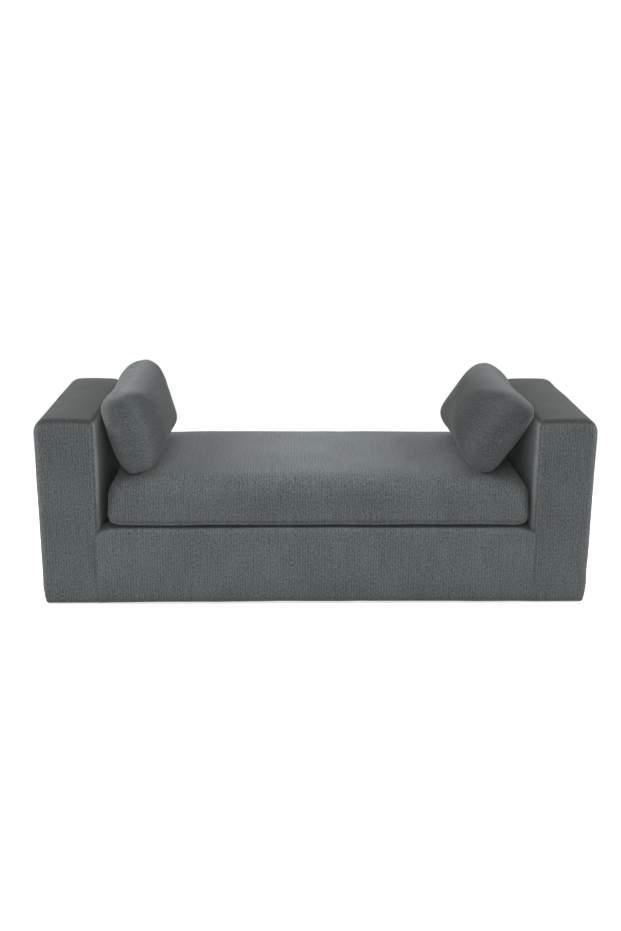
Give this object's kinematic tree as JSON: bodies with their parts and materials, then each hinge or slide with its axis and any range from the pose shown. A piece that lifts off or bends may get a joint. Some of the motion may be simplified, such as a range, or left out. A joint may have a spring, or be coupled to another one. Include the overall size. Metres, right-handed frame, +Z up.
{
  "type": "backless divan",
  "caption": "Long upholstered bench with two block arms, a loose seat cushion and two loose pillows that lean on the arms.",
  "frame": {"origin": "on the floor, under the middle of the divan", "axes": "+X along the seat to the right arm as a viewer in front sees it, +Y to the back, +Z up"},
  "size_m": [1.93, 0.71, 0.7807],
  "materials": {
    "chenille_upholstery": "woven chenille, matt",
    "deck_cloth": "plain woven",
    "dust_cover": "spun-bonded, matt",
    "foam": "cut foam",
    "fibre": "loose fibre",
    "webbing": "woven elastic",
    "zip_tape": "woven tape and moulded coil",
    "zip_slider": "dark plated",
    "glide_plastic": "moulded",
    "zinc_steel": "zinc plated",
    "hardboard": "pressed board",
    "plywood": "sanded"
  },
  "bodies": {
    "frame_and_arms": {"arm_bolts": "zinc_steel", "arm_plate_nuts": "zinc_steel", "back_rail": "plywood", "base_cover_back": "chenille_upholstery", "base_cover_front": "chenille_upholstery", "base_foam_back": "foam", "base_foam_front": "foam", "corner_blocks": "plywood", "deck_cloth": "deck_cloth", "deck_pad": "foam", "dust_cover": "dust_cover", "end_rail_left": "plywood", "end_rail_right": "plywood", "felt_insulator": "fibre", "front_rail": "plywood", "glides": "glide_plastic", "left_arm_back_board": "plywood", "left_arm_bottom_board": "plywood", "left_arm_cover": "chenille_upholstery", "left_arm_foam": "foam", "left_arm_front_board": "plywood", "left_arm_inner_panel": "plywood", "left_arm_outer_panel": "hardboard", "left_arm_posts": "plywood", "left_arm_top_board": "plywood", "right_arm_back_board": "plywood", "right_arm_bottom_board": "plywood", "right_arm_cover": "chenille_upholstery", "right_arm_foam": "foam", "right_arm_front_board": "plywood", "right_arm_inner_panel": "plywood", "right_arm_outer_panel": "hardboard", "right_arm_posts": "plywood", "right_arm_top_board": "plywood", "stretchers": "plywood", "webbing_cross": "webbing", "webbing_lengthwise": "webbing"},
    "seat_cushion": {"seat_cushion_core": "foam", "seat_cushion_cover": "chenille_upholstery", "seat_cushion_wrap": "fibre", "seat_cushion_zip": "zip_tape"},
    "left_pillow": {"left_pillow_cover": "chenille_upholstery", "left_pillow_insert": "fibre", "left_pillow_zip": "zip_tape"},
    "right_pillow": {"right_pillow_cover": "chenille_upholstery", "right_pillow_insert": "fibre", "right_pillow_zip": "zip_tape"},
    "seat_cushion_slider": {"seat_cushion_zip_slider": "zip_slider"},
    "left_pillow_slider": {"left_pillow_zip_slider": "zip_slider"},
    "right_pillow_slider": {"right_pillow_zip_slider": "zip_slider"}
  },
  "joints": [
    {"name": "seat_cushion_lift", "type": "slide", "parent": "frame_and_arms", "child": "seat_cushion", "axis": [0, 0, 1], "range_m": [0, 0.35]},
    {"name": "left_pillow_lift", "type": "slide", "parent": "seat_cushion", "child": "left_pillow", "axis": [0, 0, 1], "range_m": [0, 0.3]},
    {"name": "right_pillow_lift", "type": "slide", "parent": "seat_cushion", "child": "right_pillow", "axis": [0, 0, 1], "range_m": [0, 0.3]},
    {"name": "seat_cushion_zip_run", "type": "slide", "parent": "seat_cushion", "child": "seat_cushion_slider", "axis": [1, 0, 0], "range_m": [0, 1.154]},
    {"name": "left_pillow_zip_run", "type": "slide", "parent": "left_pillow", "child": "left_pillow_slider", "axis": [-0.2695, -0.0208, 0.9628], "range_m": [0, 0.124]},
    {"name": "right_pillow_zip_run", "type": "slide", "parent": "right_pillow", "child": "right_pillow_slider", "axis": [0.5164, 0.0196, 0.8561], "range_m": [0, 0.124]}
  ]
}
